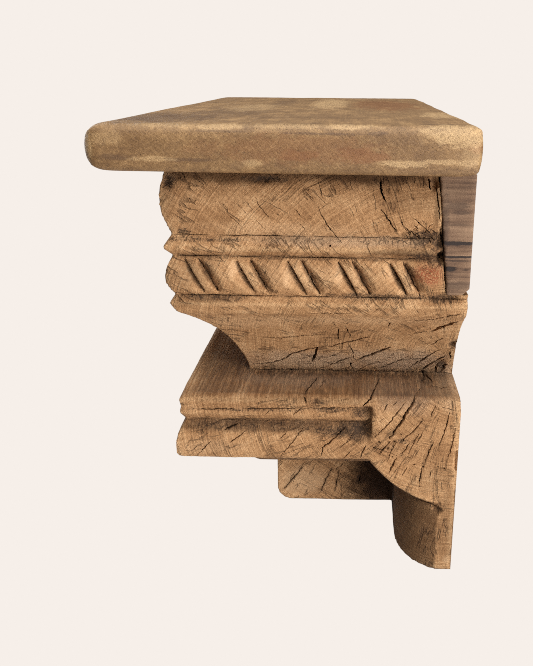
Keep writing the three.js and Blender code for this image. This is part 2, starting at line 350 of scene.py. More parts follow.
# The capital's cracks at its near end: picture places, width and depth
CRACKS = {
    "crown main": ([(380.6, 178), (381.5, 192), (385.5, 203)], 1.5, 9),
    "crown main foot": ([(380.6, 208), (391, 224), (396.5, 232)], 1.1, 6),
    "crown middle top": ([(318, 180), (322.5, 199)], 0.6, 4),
    "crown middle": ([(317.6, 206), (323, 218), (330, 229), (342.5, 244)], 0.8, 5),
    "crown right": ([(412.5, 217), (431, 234)], 0.7, 4),
    "crown right low": ([(399.5, 219.5), (403, 225.5), (420, 239)], 0.8, 4),
    "crown rear corner": ([(429, 178), (431, 190)], 1.8, 8),
    "crown left": ([(186, 196), (196.5, 206)], 0.6, 3),
    "crown left low": ([(173, 213), (188, 223)], 0.6, 3),
    "crown centre": ([(219.5, 202), (227, 208), (228, 215)], 0.5, 3),
    "crown centre low": ([(229, 215), (242, 227.5)], 0.6, 3),
    "crown inner": ([(255, 196.5), (259.5, 207), (272.5, 221.5)], 0.6, 4),
    "crown inner low": ([(255, 220), (266, 230)], 0.5, 3),
    "crown inner right": ([(295, 208.5), (302, 218)], 0.5, 3),
    "crown inner foot": ([(297.5, 220.5), (307.5, 233)], 0.5, 3),
    "neck rim": ([(406, 321), (430, 320), (462, 314)], 1.2, 6),
    "neck rear": ([(431.5, 331.5), (440.5, 327.5), (458, 321.5)], 3.0, 9),
    "neck upper": ([(261.5, 337), (280, 338.5), (303, 336), (326, 334)], 0.9, 4),
    "neck long": ([(250, 363.5), (268, 363.5), (284, 359), (293.5, 353.5), (307.5, 349.5), (327, 346)], 1.4, 6),
    "neck long end": ([(329, 347), (347.5, 342), (358, 339.5), (370.5, 336.5)], 1.2, 5),
    "neck low": ([(329, 366), (340, 361), (351, 357)], 1.4, 5),
    "neck deep": ([(357, 360), (367, 356), (378, 352), (391, 347)], 2.3, 9),
    "neck upright left": ([(338.5, 328.5), (338, 340)], 1.2, 4),
    "neck upright": ([(344.7, 325.5), (351, 337)], 1.0, 4),
    "neck stepped": ([(348.5, 345), (354, 354)], 1.5, 5),
    "neck stepped foot": ([(351, 362), (350.5, 365), (353, 370)], 1.5, 5),
    "neck gash": ([(317.7, 346.5), (315.5, 354), (312, 362)], 2.2, 7),
    "neck nick": ([(288, 370.5), (296, 369)], 1.3, 5),
    "neck brow": ([(304, 313.4), (330, 313.2), (352, 313.4)], 0.7, 2.5),
    "neck upright top": ([(333, 321.5), (336, 326.5)], 1.0, 4),
    "neck short": ([(390, 322), (388, 327.5)], 1.0, 4),
    "neck stepped middle": ([(354, 355), (352.9, 357.5), (356.5, 360)], 1.0, 4),
    "neck faint": ([(325, 358.5), (344, 351)], 0.6, 3),
    "neck low long": ([(358, 369.5), (370, 364.5), (381, 361)], 0.8, 3),
    "neck rear thin": ([(413, 334), (428, 330.8)], 0.8, 4),
    "neck rear short": ([(421.5, 325), (426, 328.5)], 0.8, 3),
    "neck fan left": ([(374, 369.5), (389, 364.5), (407, 357.5)], 1.0, 4),
    "neck fan long": ([(409, 368), (425, 357), (442, 349)], 0.9, 4),
    "neck fan top": ([(430, 345.5), (444, 338)], 0.9, 4),
    "neck fan middle": ([(417.5, 363.5), (431.5, 354)], 0.9, 4),
    "neck fan low": ([(421, 371.5), (431, 364), (444, 356.5)], 1.4, 6),
    "knot top": ([(445.5, 356), (439, 360), (433, 363), (426, 367), (419, 370.5)], 1.5, 6),
    "knot left": ([(420, 371), (423, 372), (424.5, 376.5), (423, 381), (424, 384.5)], 1.8, 6),
    "knot loop": ([(444.5, 359.5), (439.5, 363.5), (436, 368), (435.5, 372), (438.5, 374.5)], 2.3, 6),
    "knot loop rear": ([(440, 373.5), (442.5, 370), (444, 366.5), (447, 364)], 2.1, 6),
    "knot heart": ([(425.5, 373), (428.5, 377.5), (433, 382)], 1.8, 5),
    "waist rear": ([(450, 351), (450.5, 359)], 1.6, 5),
    "boss left seam": ([(379.5, 378), (370.5, 399), (363, 406)], 1.4, 7),
    "boss main": ([(421.5, 388), (415, 398), (411.5, 406), (405, 415), (402.5, 421), (389, 439)], 1.9, 12),
    "boss second": ([(405, 402.5), (391, 421), (374, 439)], 1.0, 7),
    "boss second foot": ([(391, 441), (378.5, 455)], 1.2, 7),
    "boss third": ([(423, 420), (414, 431), (399, 443)], 1.0, 6),
    "boss third foot": ([(410.5, 442), (400.5, 456.5)], 1.0, 6),
    "boss short": ([(423, 433), (416.5, 444)], 0.7, 4),
    "boss rear": ([(449.5, 412), (446, 428), (438, 447)], 0.9, 6),
    "boss rear edge": ([(456, 427), (451, 448), (447.5, 461)], 0.9, 6),
    "boss foot rear": ([(433.5, 441), (424.5, 462.5)], 0.9, 6),
    "boss foot left": ([(397, 457), (388.5, 473)], 1.2, 7),
    "boss upper left": ([(388.5, 404), (383, 412)], 0.8, 4),
    "boss upper middle": ([(397, 401), (392.5, 406)], 0.6, 3),
    "boss upper right": ([(436, 405), (430, 418)], 0.7, 4),
    "boss inner": ([(420, 433), (411, 448), (408, 455)], 0.7, 5),
    "boss inner low": ([(397, 441), (391, 452), (387, 462)], 0.7, 5),
    "boss corner": ([(441, 407), (449, 409), (455, 411)], 0.6, 3),
    "worm row upper": ([(371, 446), (380, 449.5), (390, 453), (398, 456.5)], 0.7, 2.5),
    "worm row lower": ([(368, 449), (378, 453.5), (389, 458)], 0.6, 2.5),
    "ledge fine": ([(327, 377), (322, 384), (318, 392)], 0.8, 3),
    "ledge knot side": ([(430, 385), (440, 388), (449, 387)], 0.7, 3),
    "boss foot middle": ([(407, 467), (402, 476)], 0.8, 5),
    "boss foot right": ([(422, 467), (419, 488)], 0.8, 5),
    "boss foot far right": ([(432, 470), (429, 478)], 0.7, 4),
    "ledge": ([(317.7, 377), (308.5, 388), (304, 394)], 1.6, 7),
    "ledge rim": ([(304, 397), (306, 404)], 1.8, 5),
    "ridge right": ([(301.5, 408.5), (292.5, 415.5)], 0.8, 4),
    "ridge left": ([(270.5, 410.5), (265, 414.5)], 0.7, 3),
    "band gash": ([(238.5, 423), (223.5, 430)], 1.3, 4),
    "band left": ([(246.5, 430), (229.5, 443)], 0.8, 4),
    "band far left": ([(211, 440.5), (197, 456)], 0.7, 4),
    "band middle": ([(288, 431), (278.5, 439.5)], 0.7, 4),
    "band middle long": ([(304, 427), (292, 443), (280, 457.5)], 0.7, 5),
    "band right": ([(346.5, 426), (335, 438), (322.5, 448), (321.5, 456)], 1.2, 7),
    "band far right": ([(358, 430), (339.5, 449.5)], 0.7, 5),
    "band foot right": ([(351, 451), (342, 460)], 0.9, 5),
    "band boss side": ([(366, 445), (360, 459)], 0.9, 5),
    "shaft left": ([(303, 467), (293.5, 477.5), (283.5, 489.5)], 0.6, 4),
    "shaft middle": ([(332, 467), (326, 479), (320.5, 492)], 0.6, 4),
    "shaft right": ([(339.5, 469), (335, 492)], 0.5, 4),
    "shaft dark": ([(361, 475), (358, 486)], 0.7, 5),
    "rim line left": ([(195, 409), (236, 408.8)], 1.0, 2.5),
    "rim line middle": ([(243, 408.8), (298, 408.4)], 1.0, 2.5),
    "rim line right": ([(308, 408.3), (358, 407.8)], 1.2, 2.5),
    "pendant shoulder": ([(419, 499), (431, 504), (440, 508)], 1.5, 4),
    "rear joint top": ([(436.5, 180), (437, 190), (438.5, 205), (440.5, 222)], 0.9, 6),
    "rear joint": ([(440.5, 226), (441.5, 240), (441.5, 249)], 1.0, 6),
    "rear joint foot": ([(444.5, 266), (445.5, 280), (447, 294)], 1.2, 6),
}

# A patch of fine crossing cracks: its middle and half size on the picture
CRACKLE_PICTURE = (417, 233)
CRACKLE_HALF = (18, 9)
CRACKLE_COUNT = 22

# Rows of worm holes and small pits by the foot of the boss: picture places
PITS = [
    (374, 448), (379.2, 442.5), (381, 452.5), (388.3, 448.3), (391.7, 457), (394, 441.7), (400.8, 434.2),
    (403.3, 440.8), (408.3, 457.5), (414, 465), (423.3, 466.7), (437.5, 466.7), (444, 469), (330, 246),
]


# Stains, painted shade and painted light on the near end: picture place, half size along, across and up in millimetres,
# and strength
CAPITAL_PATCHES = {
    # soot: black patina at the crown's rear corner, and painted shade: the contact shadow under the board, the shaded
    # right flanks of the gouges, the creases between the mouldings and the insides of cracks
    "soot_and_painted_shade": [
        ((427, 238), (40, 18, 6), 1.0),
        ((439, 244), (40, 9, 8), 1.0),
        ((390, 241), (40, 30, 3), 0.6),
        ((268, 179), (40, 14, 2.5), 0.9),
        ((250, 178), (40, 8, 1.5), 0.6),
        ((167, 181), (40, 6, 6), 1.0),
        ((184, 232), (40, 6, 3), 0.8),
        ((206, 239), (40, 36, 2.0), 0.7),
        ((300, 240), (40, 46, 2.0), 0.5),
        ((425, 257), (40, 16, 4), 0.8),
        ((436, 262), (40, 8, 6), 0.7),
        ((409, 273), (40, 5, 9), 0.7),
        ((363, 277), (40, 4, 8), 0.45),
        ((312, 281), (40, 4, 8), 0.45),
        ((264, 274), (40, 4, 8), 0.45),
        ((208, 268), (40, 4, 9), 0.6),
        ((385, 297), (40, 54, 3), 0.8),
        ((445, 298), (40, 14, 4), 0.9),
        ((215, 297), (40, 30, 2.5), 0.7),
        ((440, 366), (16, 9, 9), 0.4),
        ((441, 366), (16, 4, 6), 0.8),
        ((425, 377), (16, 3, 4), 0.8),
        ((314, 358), (40, 3, 5), 0.6),
        ((427, 379), (12, 8, 5), 0.6),
        ((455, 345), (40, 5, 8), 0.7),
        ((230, 426), (40, 30, 3.5), 0.6),
        ((290, 427), (40, 40, 3.0), 0.5),
        ((340, 431), (40, 22, 5), 0.9),
        ((357, 433), (40, 11, 8), 1.0),
        ((361, 413), (40, 8, 6), 0.7),
        ((322, 403), (40, 8, 2.5), 0.6),
        ((250, 410), (40, 48, 1.4), 0.6),
        ((335, 410), (40, 22, 1.8), 0.8),
        ((443, 256), (40, 4, 7), 1.0),
        ((403, 441), (40, 5, 3), 0.7),
        ((388, 449), (40, 14, 3), 0.35),
    ],
    # brown: mostly painted shade: the shadow of the board on the crown's top, the leg's shadow on the shaft, the leg's
    # curved side turned from the lamps and the dark grooves; also a brown stain along the rear joint
    "brown_stain_and_painted_shade": [
        ((445, 530), (60, 8, 50), 0.5),
        ((384, 482), (40, 38, 60), 1.4),
        ((240, 176), (40, 78, 6), 1.05),
        ((375, 176), (40, 62, 8), 1.15),
        ((405, 254), (40, 34, 4), 0.8),
        ((190, 272), (40, 18, 14), 0.45),
        ((190, 302), (40, 16, 4), 0.35),
        ((310, 401), (12, 90, 2.5), 0.45),
        ((438, 205), (40, 3, 22), 0.7),
        ((205, 299), (40, 24, 3), 0.7),
        ((167, 200), (40, 6, 26), 0.35),
        ((172, 275), (40, 7, 12), 0.3),
        ((412, 202), (40, 26, 10), 0.35),
        ((435, 480), (30, 20, 14), 0.3),
        ((270, 427), (40, 95, 4), 0.8),
        ((350, 430), (40, 22, 6), 0.6),
    ],
    "weather": [
        ((310, 360), (40, 60, 10), 1.0),
        ((395, 360), (40, 46, 12), 1.0),
        ((300, 378), (16, 44, 8), 1.0),
        ((400, 390), (30, 36, 12), 0.6),
        ((345, 242), (40, 60, 4), 0.6),
        ((446, 372), (40, 12, 12), 0.7),
    ],
    # pale: paler wood spots, and painted light: the lit left flanks of the gouges and the lit left part of the shaft
    "pale": [
        ((234, 270), (40, 4, 5), 0.8),
        ((286, 278), (40, 3.5, 9), 0.8),
        ((339, 277), (40, 3.5, 8), 0.8),
        ((392, 274), (40, 4, 5), 0.6),
        ((446, 560), (40, 4, 5), 0.8),
        ((437, 378), (40, 3, 2), 0.8),
        ((447, 404), (40, 7, 5), 0.5),
        ((280, 230), (40, 60, 7), 0.4),
        ((210, 447), (40, 26, 7), 0.35),
        ((272, 358), (40, 20, 10), 0.3),
        ((302, 480), (20, 24, 16), 0.75),
        ((440, 392), (14, 12, 8), 0.4),
        ((240, 322), (40, 40, 8), 0.4),
        ((300, 277), (40, 60, 9), 0.3),
        ((385, 355), (40, 40, 12), 0.35),
        ((446, 386), (30, 14, 9), 0.6),
        ((290, 378), (14, 40, 8), 0.4),
        ((300, 362), (40, 50, 12), 0.5),
        ((430, 372), (30, 14, 8), 0.4),
        ((330, 241), (40, 80, 3.5), 0.6),
        ((330, 320), (30, 90, 6), 0.4),
    ],
    "paint": [((429, 275), (40, 13, 9), 1.0)],
}

# Stains on the board, in the same way; the pale spot at the rounded left edge is painted light
BOARD_STAINS_AND_PAINTED_LIGHT = {
    "reddish": [
        ((297, 156), (20, 15, 4.5), 1.0),
        ((362, 155), (20, 18, 6), 1.0),
        ((300, 150), (20, 60, 10), 0.5),
        ((478, 149), (20, 6, 4), 0.8),
        ((385, 104.5), (110, 36, 10), 1.0),
        ((205, 148), (20, 16, 5), 0.3),
    ],
    # pale: paler worn wood, and painted light on the rounded left edge that turns from the lamps
    "pale": [
        ((215, 126), (12, 20, 2.4), 0.9),
        ((290, 126), (12, 32, 2.2), 0.6),
        ((355, 127), (12, 17, 2.4), 1.0),
        ((165, 125), (12, 24, 1.8), 0.6),
        ((462, 134), (20, 26, 9), 1.1),
        ((475, 158), (20, 10, 8), 0.5),
        ((405, 164), (20, 18, 2.4), 0.9),
        ((440, 162.5), (20, 18, 1.8), 0.7),
        ((471, 163), (20, 12, 2.4), 0.8),
        ((150, 159), (20, 16, 1.8), 0.6),
        ((253, 164), (20, 6, 3), 0.6),
        ((445, 115), (40, 22, 10), 0.9),
        ((331, 103), (120, 20, 10), 1.0),
        ((255, 107), (70, 24, 10), 0.6),
        ((86, 145), (12, 3.5, 12), 0.8),
        ((105, 138), (20, 12, 5), 0.4),
    ],
    "dark": [
        ((165, 117), (50, 40, 10), 1.0),
        ((232, 112), (60, 36, 10), 0.6),
        ((325, 134), (20, 24, 1.0), 0.9),
        ((378, 134), (20, 8, 1.6), 0.8),
        ((214, 131), (20, 20, 0.9), 0.7),
        ((438, 124), (8, 20, 1.2), 0.8),
        ((114, 157), (20, 14, 2.4), 0.9),
        ((189, 160), (20, 16, 1.4), 0.9),
        ((455, 173), (20, 18, 3), 0.5),
        ((236, 166), (20, 7, 3), 0.5),
        ((285, 102), (90, 14, 10), 0.6),
        ((300, 116), (30, 60, 10), 0.4),
        ((395, 140), (20, 20, 4), 0.35),
    ],
}

# Dark layers on the batten's end
BATTEN_STAINS = [
    ((457, 243.7), (30, 16, 1.7), 1.5),
    ((457, 257.3), (30, 16, 0.9), 1.3),
    ((457, 261), (30, 14, 0.6), 0.8),
    ((449, 269), (30, 6, 1.8), 1.5),
    ((466, 270), (30, 3, 0.8), 0.7),
    ((457, 206), (30, 11, 3), 0.5),
    ((462, 213), (30, 8, 1.5), 0.5),
    ((445, 230), (30, 3, 26), 0.5),
    ((457, 225), (30, 12, 1.0), 0.4),
    ((457, 286), (30, 14, 4), 0.5),
]


# Hollows broken or scooped out of the near end: picture place, half size across and up, and depth
DENTS = [
    ((362, 434), (11, 8), 6),
    ((365, 414), (10, 7), 4),
    ((441, 257), (5, 7), 7),
    ((439, 247), (5, 5), 4),
    ((441, 364), (7, 7), 3),
    ((427, 379), (6, 4), 2.5),
    ((315, 402), (4, 3), 3),
    ((434, 184), (4, 7), 4),
    ((453, 345), (4, 5), 4),
    ((165, 182), (6, 6), 2.5),
    ((267, 179), (10, 3), 2),
    ((437, 510), (5, 3), 2.5),
]


def dented(points, tree):
    """Pushes the near end in at its dents."""
    points = points.copy()
    uneven = 0.3 * layered_noise(points, 5 * MM, 121)
    for picture_place, (across, up), depth in DENTS:
        centre = np.array(seen_on(tree, picture_place)[0])
        away = (points - centre) / (np.array((2 * depth + 8, across, up)) * MM)
        distance = np.linalg.norm(away, axis=1) + uneven
        points[:, 0] -= depth * MM * ease(-distance, -1.0, -0.1)
    return points


def patch_values(points, tree, spots):
    """How strongly the spots mark each point, as stains, painted shade and painted light; their outlines are uneven."""
    total = np.zeros(len(points))
    uneven = 0.35 * layered_noise(points, 7 * MM, 111)
    for picture_place, size, strength in spots:
        centre = np.array(seen_on(tree, picture_place)[0])
        away = (points - centre) / (np.array(size) * MM)
        distance = np.linalg.norm(away, axis=1) + uneven
        total = np.maximum(total, strength * ease(-distance, -1.3, -0.3))
    return total


def add_patches(piece, tree, patches):
    """Keeps how strongly each kind of mark, stains, painted shade and painted light, lies on each point of the piece.
    """
    points = points_of(piece.data)
    for name, spots in patches.items():
        add_value(piece.data, name, patch_values(points, tree, spots))


def blade_on(tree, picture_path, width, depth, rng):
    """A crack's blade, on the surface that the picture path shows. It goes in along the grain and down."""
    path = ragged([Vector(place) for place in picture_path], 2.0, 0.55, rng)
    seen = [seen_on(tree, place) for place in path]
    places = [place for place, _ in seen if place is not None]
    facing = sum((normal for _, normal in seen if normal is not None), Vector((0, 0, 0))) / len(places)
    inward = -(facing + Vector((1, 0, 0))).normalized()
    return wedge(places, [inward] * len(places), CRACK_OPENING * width * MM, depth * MM, rng)


def pit_blade(tree, picture_place, rng):
    """A worm hole's blade."""
    middle = Vector(picture_place)
    half = Vector((rng.uniform(1.0, 1.8), rng.uniform(-0.3, 0.9)))
    return blade_on(tree, [middle - half, middle, middle + half], rng.uniform(1.4, 2.2), 4, rng)


def crackle_blades(tree, rng):
    """Short fine cracks that cross each other at the crown's lower rear corner."""
    blades = []
    for i in range(CRACKLE_COUNT):
        away = Vector((rng.uniform(-1, 1) * CRACKLE_HALF[0], rng.uniform(-1, 1) * CRACKLE_HALF[1]))
        slope = math.radians(rng.uniform(30, 60) if i % 3 else rng.uniform(-50, -20))
        half = Vector((math.cos(slope), math.sin(slope))) * rng.uniform(1.8, 4.5)
        middle = Vector(CRACKLE_PICTURE) + away
        blades.append(blade_on(tree, [middle - half, middle + half], rng.uniform(0.5, 0.9), 2.5, rng))
    return blades


def blade_from(tree, path, towards, width, depth, rng):
    """A crack's blade, on the surface met from each place of the path in one direction."""
    places = []
    for place in ragged(path, 3 * MM, 0.4 * MM, rng):
        met = tree.ray_cast(place, towards)[0]
        if met is not None:
            places.append(met)
    if len(places) < 3:
        return None
    return wedge(places, [towards] * len(places), width, depth, rng)


# The capital's shape

CAPITAL_TRIANGLES = 190000
PENDANT_HEIGHT = 72 * MM
GOUGE_ANGLE = math.radians(95)
GOUGE_LENGTH = 12 * MM
QUIRK_ANGLE = math.radians(38)
QUIRK_LENGTH = 30 * MM
CRACK_OPENING = 1.15


def capital_wear(points, normals, hollow):
    """How far the surface of the capital has worn away at each point."""
    end_grain = np.abs(normals[:, 0])
    low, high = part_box("corbel_block")
    carved = 0.25 + 0.75 * ease(points[:, 2], low.z + 50 * MM, low.z + 75 * MM)
    edge = ease(0.5 - hollow, 0.03, 0.24)
    waves = 0.35 * layered_noise(points, 42 * MM, 11) + 0.15 * layered_noise(points, 12 * MM, 21)
    fibres = 0.30 * layered_noise(points, np.array((55, 3.2, 3.2)) * MM, 31) * (1 - end_grain)
    grain = 0.12 * layered_noise(points, np.array((30, 2.4, 2.4)) * MM, 41)
    rubbed = 0.5 * edge * (0.5 + 0.5 * noise(points, 9 * MM, 51))
    chips = 2.0 * edge * ease(layered_noise(points, 11 * MM, 61), 0.45, 0.65)
    scored = 1.0 * ease(hollow, 0.56, 0.72)
    return (waves + scored + carved * (fibres + grain + rubbed + chips)) * MM


def sawn_flat(points, normals):
    """1 on the flat back that lies on the wall and under the board, 0 elsewhere."""
    back = (normals[:, 1] > 0.7) & (points[:, 1] > -0.5 * MM)
    top = (normals[:, 2] > 0.7) & (points[:, 2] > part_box("corbel_block")[1][2] - 0.5 * MM)
    return (back | top).astype(float)


def hollow_edges(least_angle, least_length):
    """The ends of the solid's hollow edges that turn and run at least so far."""
    shape = bmesh.new()
    shape.from_mesh(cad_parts["corbel_block"].data)
    bmesh.ops.remove_doubles(shape, verts=shape.verts, dist=0.001 * MM)
    found = []
    for edge in shape.edges:
        hollow = len(edge.link_faces) == 2 and not edge.is_convex
        if hollow and edge.calc_face_angle() > least_angle and edge.calc_length() > least_length:
            found.append(tuple(corner.co.copy() for corner in edge.verts))
    shape.free()
    return found


def into_side(place):
    """The level direction into the capital from its nearest side."""
    if abs(place.x) > abs(place.y) - 10 * MM:
        return Vector((-math.copysign(1, place.x), 0, 0))
    return Vector((0, 1, 0))


def gouge_blades(rng):
    """Blades along the bottoms of the gouges, which are the solid's sharpest hollow edges."""
    blades = []
    for start, end in hollow_edges(GOUGE_ANGLE, GOUGE_LENGTH):
        middle = start.lerp(end, 0.5)
        path = ragged([start, middle, end], 2.0 * MM, 0.45 * MM, rng)
        width = rng.uniform(1.3, 2.4) * MM
        inward = into_side(middle)
        blades.append(wedge(path, [inward] * len(path), width, rng.uniform(2, 4) * MM, rng))
    return blades


def quirk_blades(rng):
    """Thin broken lines along the long hollows between the mouldings."""
    blades = []
    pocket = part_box("back_batten")[0].y - 2 * MM
    for start, end in hollow_edges(QUIRK_ANGLE, QUIRK_LENGTH):
        run = end - start
        level = abs(run.normalized().z) < 0.1
        if not level or max(start.y, end.y) > pocket and abs(run.x) > abs(run.y):
            continue
        across = abs(run.y) > abs(run.x)
        inward = Vector((-math.copysign(1, start.x), 0, 0)) if across else Vector((0, 1, 0))
        reached = rng.uniform(0, 8) * MM
        while reached < run.length - 12 * MM:
            piece = min(rng.uniform(20, 70) * MM, run.length - reached)
            first = start + run.normalized() * reached
            path = ragged([first, first + run.normalized() * piece], 5 * MM, 0.25 * MM, rng)
            blades.append(wedge(path, [inward] * len(path), rng.uniform(0.5, 1.0) * MM, 2.5 * MM, rng))
            reached += piece + rng.uniform(2, 12) * MM
    return blades


def random_cracks(tree, rng):
    """Checks of the sides that the picture doesn't show, as blades."""
    blades = []
    low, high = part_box("corbel_block")
    heart = heart_place(tree)
    for turn in np.arange(0, 2 * math.pi, math.radians(11)):
        angle = turn + rng.uniform(-0.08, 0.08)
        inner = rng.uniform(25, 70) * MM
        length = rng.uniform(18, 70) * MM
        out = Vector((0, math.cos(angle), math.sin(angle)))
        start = Vector((low.x - 20 * MM, heart.y, heart.z))
        path = [start + out * inner, start + out * (inner + length)]
        blades.append(blade_from(tree, path, Vector((1, 0, 0)), rng.uniform(0.6, 1.5) * MM, 6 * MM, rng))
    for _ in range(26):
        height = rng.uniform(low.z + 60 * MM, high.z - 4 * MM)
        left = rng.uniform(low.x + 25 * MM, high.x - 110 * MM)
        length = rng.uniform(30, 90) * MM
        start = Vector((left, low.y - 20 * MM, height))
        end = start + Vector((length, 0, rng.uniform(-3, 3) * MM))
        blades.append(blade_from(tree, [start, end], Vector((0, 1, 0)), rng.uniform(0.6, 1.3) * MM, 5 * MM, rng))
    return [blade for blade in blades if blade]


def heart_place(tree):
    """The heart of the log, on the near end."""
    return seen_on(tree, HEART_PICTURE)[0]


def apart(blades):
    """The blades in groups, in each of which none touches another."""
    groups = []
    for blade in blades:
        corners = np.array([tuple(corner) for corner in blade[0]])
        box = corners.min(0), corners.max(0)
        for group in groups:
            if all((box[0] > other[1]).any() or (other[0] > box[1]).any() for _, other in group):
                group.append((blade, box))
                break
        else:
            groups.append([(blade, box)])
    return [[blade for blade, _ in group] for group in groups]


def thin_out(piece, most_triangles):
    """Thins the mesh to that many triangles; the near end keeps more of them."""
    points = points_of(piece.data)
    group = piece.vertex_groups.new(name="far")
    levels = np.round(4 * (1 - 0.8 * ease(points[:, 0], 60 * MM, 150 * MM))).astype(int)
    for level in np.unique(levels):
        members = np.flatnonzero(levels == level).tolist()
        group.add(members, float(level) / 4, "REPLACE")
    triangles = sum(len(face.vertices) - 2 for face in piece.data.polygons)
    ratio = most_triangles / triangles
    with_modifier(piece, "DECIMATE", ratio=ratio, vertex_group="far", vertex_group_factor=1.0)
    piece.vertex_groups.clear()


def make_capital():
    rng = np.random.default_rng(5)
    voxel = 1.15 * MM
    piece = copy_of("corbel_block", "carved_capital", voxel)
    tree = solid_tree("corbel_block")
    solid = Fullness("corbel_block")
    points = points_of(piece.data)
    normals = normals_of(piece.data)
    worn = capital_wear(points, normals, solid.at(points, 3 * MM)) * (1 - sawn_flat(points, normals))
    points = points - normals * worn[:, None]
    points = keep_inside(dented(points, tree), "corbel_block")
    move_points(piece.data, points)
    blades = [blade_on(tree, path, width, depth, rng) for path, width, depth in CRACKS.values()]
    blades += [pit_blade(tree, place, rng) for place in PITS]
    blades += crackle_blades(tree, rng)
    blades += gouge_blades(rng)
    blades += quirk_blades(rng)
    blades += random_cracks(tree, rng)
    for group in apart(blades):
        cut_away(piece, group)
    thin_out(piece, CAPITAL_TRIANGLES)
    points = keep_inside(points_of(piece.data), "corbel_block")
    move_points(piece.data, points)
    normals = normals_of(piece.data)
    add_value(piece.data, "hollow", solid.at(points, 3 * MM))
    add_value(piece.data, "deep", solid.at(points, 11 * MM))
    add_value(piece.data, "along_grain", ease(1 - np.abs(normals[:, 0]), 0.25, 0.6))
    # The pendant's curved sides, turned from the lamps, are darkened as painted shade
    side = ease(1 - np.abs(normals[:, 0]), 0.02, 0.06) * (points[:, 2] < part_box("corbel_block")[0].z + PENDANT_HEIGHT)
    add_value(piece.data, "pendant_side_shade", side)
    add_patches(piece, tree, CAPITAL_PATCHES)
    in_place_of(piece, "corbel_block", capital_material(tree), math.radians(50))
    return piece


def make_board():
    piece = copy_of("shelf_board", "worn_shelf_board", 2.2 * MM)
    solid = Fullness("shelf_board")
    points = points_of(piece.data)
    normals = normals_of(piece.data)
    edge = ease(0.5 - solid.at(points, 7 * MM), 0.06, 0.3)
    waves = 0.35 + 0.35 * layered_noise(points, 60 * MM, 71)
    grain = 0.10 * layered_noise(points, np.array((70, 4, 4)) * MM, 81)
    rubbed = 2.2 * edge * (1 + 0.3 * noise(points, 25 * MM, 91))
    underside = normals[:, 2] < -0.7
    back = (normals[:, 1] > 0.7) & (points[:, 1] > -0.5 * MM)
    worn = (rubbed + np.where(underside | back, 0, waves + grain)) * MM
    points = keep_inside(points - normals * worn[:, None], "shelf_board")
    move_points(piece.data, points)
    with_modifier(piece, "DECIMATE", ratio=0.5)
    points = keep_inside(points_of(piece.data), "shelf_board")
    move_points(piece.data, points)
    add_value(piece.data, "hollow", solid.at(points, 5 * MM))
    add_value(piece.data, "upward", ease(normals_of(piece.data)[:, 2], 0.35, 0.8))
    material = board_material(solid_tree("shelf_board"))
    in_place_of(piece, "shelf_board", material, math.radians(60))
    return piece


def make_batten():
    piece = copy_of("back_batten", "hanging_batten", 1.2 * MM)
    solid = Fullness("back_batten")
    points = points_of(piece.data)
    normals = normals_of(piece.data)
    exposed = np.abs(normals[:, 0]) + (normals[:, 2] < -0.7)
    worn = exposed * (0.2 + 0.2 * layered_noise(points, 15 * MM, 101)) * MM
    points = keep_inside(points - normals * worn[:, None], "back_batten")
    move_points(piece.data, points)
    with_modifier(piece, "DECIMATE", ratio=0.3)
    move_points(piece.data, keep_inside(points_of(piece.data), "back_batten"))
    material = batten_material(solid_tree("back_batten"))
    in_place_of(piece, "back_batten", material, math.radians(50))
    return piece


# Materials


